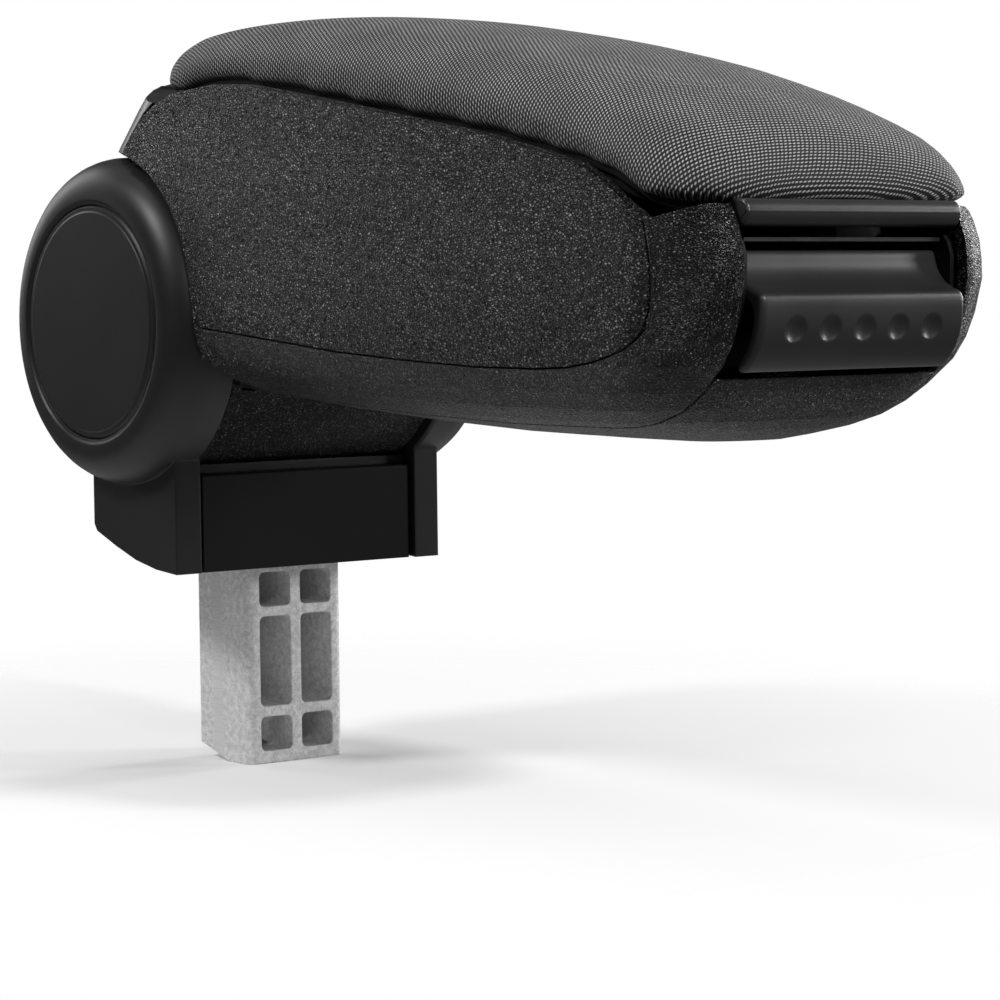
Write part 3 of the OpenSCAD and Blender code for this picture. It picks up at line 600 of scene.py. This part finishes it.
# Front bar and release lever. Smooth satin mouldings: one outline seen from
# the side, run across the latch end with its two ends turned round. The lever's
# thumb face has five ball-shaped dimples; its hook and arms hide behind it.
bar_line = np.array((
    (0, 0.7), (0, -5.1), (1.5, -6.3), (4.5, -6.3), (5.8, -5.5), (6.9, -3.2), (6.5, -0.9),
    (5.3, 0.4), (3.5, 0.7),
)) + (258.5, 29.5)
lever_axis = np.array((251.5, 12))
lever_line = np.array((
    (7.9, -24.8), (9.5, -25), (13, -21.5), (15.9, -16), (16.7, -11), (16.7, -6.6), (15.7, -5.2),
    (12.9, -4.2), (9.7, -2.2), (7.4, 1), (6.5, 5), (4.9, 5.6), (4.1, 4.6), (4.7, 0), (7.1, -3.8),
    (10.9, -6.6), (13.1, -8.6), (13.3, -12), (12.1, -17), (9.1, -21.6), (7.1, -23.6),
)) + lever_axis
arm_line = np.array((
    (-2, -3.6), (6, -8), (13.1, -12), (13.5, -8), (10.5, -4.4), (5.5, 2), (0, 4.1),
)) + lever_axis
hook_line = np.array((
    (4.9, 17), (4, 17.5), (1.4, 18.6), (1.2, 25.6), (-2.6, 25.6), (-2.6, 24.4), (-0.8, 23.6),
    (-0.8, 17), (3.8, 13),
)) + (252.5, 0)
bar_half_width, bar_turn, bar_step = 38.2, 0.8, 2
ridge_level, ridge_width, ridge_height, bar_face = 27, 0.2, 0.16, 262
grip_half_width, grip_turn, grip_step = 36.2, 1.4, 0.35
back_share = 0.2
bar_spacing, arm_spacing, hook_spacing = 0.15, 0.6, 0.5
dimple_radius, dimple_depth, dimple_pitch, dimple_level = 3.6, 1.1, 12.15, -3.6
thumb_face, dimples_from = 15.8, 264.9
arm_place, arm_half_width, boss_radius, boss_points = 26, 1.4, 4.2, 48
hook_half_width, small_turn = 4, 0.3


def softened(line, spacing):
    """Cuts the corners of a closed outline three times, a quarter off each side, which
    leaves a smooth curve inside them, and spaces its points evenly."""
    for _ in range(3):
        after = np.roll(line, -1, axis=0)
        line = np.stack((0.75 * line + 0.25 * after, 0.25 * line + 0.75 * after), 1).reshape(-1, 2)
    closed = np.vstack((line, line[:1]))
    run = np.append(0, np.cumsum(np.linalg.norm(np.diff(closed, axis=0), axis=1)))
    places = np.linspace(0, run[-1], int(run[-1] / spacing), endpoint=False)
    return np.stack([np.interp(places, run, closed[:, axis]) for axis in (0, 1)], 1)


def moulding(line, middle, half_width, turn, spacing, back=1.0):
    """The outline repeated across the part, half_width to both sides of the middle. At
    both ends it moves in along its own normals as a quarter circle of radius turn, and
    where it faces the rear by the share back of that."""
    start, end = middle - half_width, middle + half_width
    ahead_of = np.roll(line, -1, axis=0) - np.roll(line, 1, axis=0)
    outwards = np.stack((ahead_of[:, 1], -ahead_of[:, 0]), 1)
    outwards = outwards / np.linalg.norm(ahead_of, axis=1, keepdims=True)
    outwards = outwards * np.where(outwards[:, :1] > 0, 1, back)
    a = np.linspace(0, pi / 2, 8)
    low, high = start + turn - turn * np.sin(a), end - turn + turn * np.sin(a)
    between = np.linspace(low[0], high[0], max(int((end - start) / spacing), 2))[1:-1]
    y = np.concatenate((low[::-1], between, high))
    inset = np.concatenate((turn * (1 - np.cos(a))[::-1], 0 * between, turn * (1 - np.cos(a))))
    rings = line - outwards * inset[:, None, None]
    return np.stack((rings[..., 0], y[:, None] + 0 * rings[..., 0], rings[..., 1]), -1)


def both_sides(line):
    """A plate of the outline's shape on either side of the part, where the arms are."""
    return [moulding(line, y, arm_half_width, small_turn, 1) for y in (-arm_place, arm_place)]


def dimpled(grid):
    """Cuts five balls into the thumb face: a point that lies inside a ball moves back to
    it. The ball's radius follows from the dimple's own radius and its depth."""
    ball = (dimple_radius ** 2 + dimple_depth ** 2) / (2 * dimple_depth)
    centre_x = lever_axis[0] + thumb_face - dimple_depth + ball
    for number in range(-2, 3):
        aside, above = grid[..., 1] - dimple_pitch * number, grid[..., 2] - dimple_level
        off = aside ** 2 + above ** 2
        face = centre_x - np.sqrt(np.maximum(ball ** 2 - off, 0))
        inside = (off < ball ** 2) & (grid[..., 0] > dimples_from)
        grid[..., 0] = np.where(inside, np.minimum(grid[..., 0], face), grid[..., 0])
    return grid


def solid_mesh(name, *grids):
    """One mesh of several closed bars: each is a row of rings, with one face over both
    ends. Their rings run the other way round than the pad's, so each face is turned over.
    Gives back the mesh and each bar's number of faces."""
    faces, counts, base = [], [], 0
    for grid in grids:
        m, n = grid.shape[:2]
        sides = ring_faces(m, n)[:, [0, 3, 2, 1]] + base
        faces += sides.tolist() + [(np.arange(n) + base).tolist()]
        faces.append((np.arange(n)[::-1] + (m - 1) * n + base).tolist())
        counts.append(len(sides) + 2)
        base += m * n
    mesh = bpy.data.meshes.new(name)
    points = np.vstack([grid.reshape(-1, 3) for grid in grids])
    mesh.from_pydata(((points + pivot) / 1000).tolist(), [], faces)
    return mesh, counts


# A fine ridge runs along the bar's front face, as a bell curve over its height.
bar = softened(bar_line, bar_spacing)
ridge = ridge_height * np.exp(-((bar[:, 1] - ridge_level) / ridge_width) ** 2)
bar[:, 0] += ridge * (bar[:, 0] > bar_face)
bar_grid = moulding(bar, 0, bar_half_width, bar_turn, bar_step, back_share)
bar_mesh, _ = solid_mesh("front bar", bar_grid)
bar_piece = add_piece("front_bar_moulding", bar_mesh, "lid", smooth_satin)
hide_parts("front_bar")
grip_line = softened(lever_line, grip_step)
grip = dimpled(moulding(grip_line, 0, grip_half_width, grip_turn, grip_step, back_share))
arms = both_sides(softened(arm_line, arm_spacing))
round_boss = np.linspace(0, 2 * pi, boss_points, endpoint=False)[:, None]
boss_line = lever_axis + boss_radius * np.hstack((np.cos(round_boss), np.sin(round_boss)))
bosses = both_sides(boss_line)
hook = moulding(softened(hook_line, hook_spacing), 0, hook_half_width, small_turn, 1)
lever_mesh, face_counts = solid_mesh("release lever", grip, *arms, *bosses, hook)
lever_piece = add_piece("release_lever_moulding", lever_mesh, "lever", smooth_satin)
# The arms, bosses and hook take the inner black plastic, darkened as painted shade behind the grip.
lever_mesh.materials.append(inner_black_and_shade.material)
hidden = np.repeat(np.arange(len(face_counts)) > 0, face_counts)  # all but the grip
lever_mesh.polygons.foreach_set("material_index", hidden.astype(np.int32))
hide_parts("release_lever")

# Post. Sand-cast aluminium with a mottled skin, tumbled after casting; one
# machined stripe runs down each side where it slides in its socket.
stripe_place, stripe_edge = -0.0028, 0.0014
mottle_size, pit_size, tool_mark, cast_relief = 0.002, 0.0006, 0.0005, 0.00025
cast = Finish("cast aluminium", Metallic=0.25)
cast_place = cast.place()
mottle = cast.noise(cast_place, mottle_size, 4.0, 0.7)
pits = cast.noise(cast_place, pit_size, 2.0)
blotch = 0.65 * ((mottle - 0.38) * 4).clipped() + 0.35 * ((pits - 0.35) * 3).clipped()
across = cast.node("ShaderNodeSeparateXYZ", None, {0: cast_place}, 0)
stripe = (4 - ((across - stripe_place) / stripe_edge) ** 2).clipped()
tooled = cast.noise(cast.vector("MULTIPLY", cast_place, (0.04, 1.0, 1.0)), tool_mark, 1.0)
skin = cast.tint(blotch, (0.56, 0.56, 0.57), (0.95, 0.95, 0.95))
milled = cast.tint(tooled, (0.55, 0.55, 0.56), (0.9, 0.9, 0.9))
both = {"Factor": stripe, "A": skin, "B": milled}
cast.feed("Base Color", cast.node("ShaderNodeMix", {"data_type": "RGBA"}, both, 2))
cast.feed("Roughness", 0.36 + 0.3 * mottle)
relief = (1 - stripe) * (blotch * 0.7 + pits * 0.3) + stripe * (0.5 + 0.1 * tooled)
cast.feed("Normal", cast.bump(relief, cast_relief, 0.8, cast.rounded(0.0008)))
dress(cast, "post_casting")

# Pins, screws and spring are plain drawn steel, the latch plate is blackened steel, and
# bushes and washers are natural nylon. They sit inside the arms and the shells, and only
# the latch plate's edge shows.
steel = Finish("plain steel", Metallic=1.0)
steel_place = steel.vector("MULTIPLY", steel.place(), (1.0, 0.08, 1.0))
drawn = steel.noise(steel_place, 0.0004, 3.0)
steel.feed("Base Color", steel.tint(drawn, (0.42, 0.42, 0.43), (0.6, 0.6, 0.62)))
steel.feed("Roughness", 0.3 + 0.2 * drawn)
dress(steel, "pivot_shaft", "floor_screws", "tray_screws")
dress(steel, "lever_pin", "lever_spring", "lid_hinge_pin")
plate_steel = Finish("blackened steel", Metallic=0.6)
plate_place = plate_steel.place()
oxide = plate_steel.noise(plate_place, 0.003, 3.0)
plate_steel.feed("Base Color", plate_steel.tint(oxide, (0.02, 0.02, 0.021), (0.045, 0.045, 0.047)))
plate_steel.feed("Roughness", 0.35 + 0.2 * oxide)
dress(plate_steel, "latch_plate")
nylon = satin(
    "natural nylon", (0.62, 0.6, 0.52), grain_size=0.0008, depth=0.00002, rough=0.45,
    edge_radius=0.0004,
)
dress(nylon, "right_bush", "left_bush", "right_washer", "left_washer")

bpy.context.scene.view_settings.view_transform = "Standard"
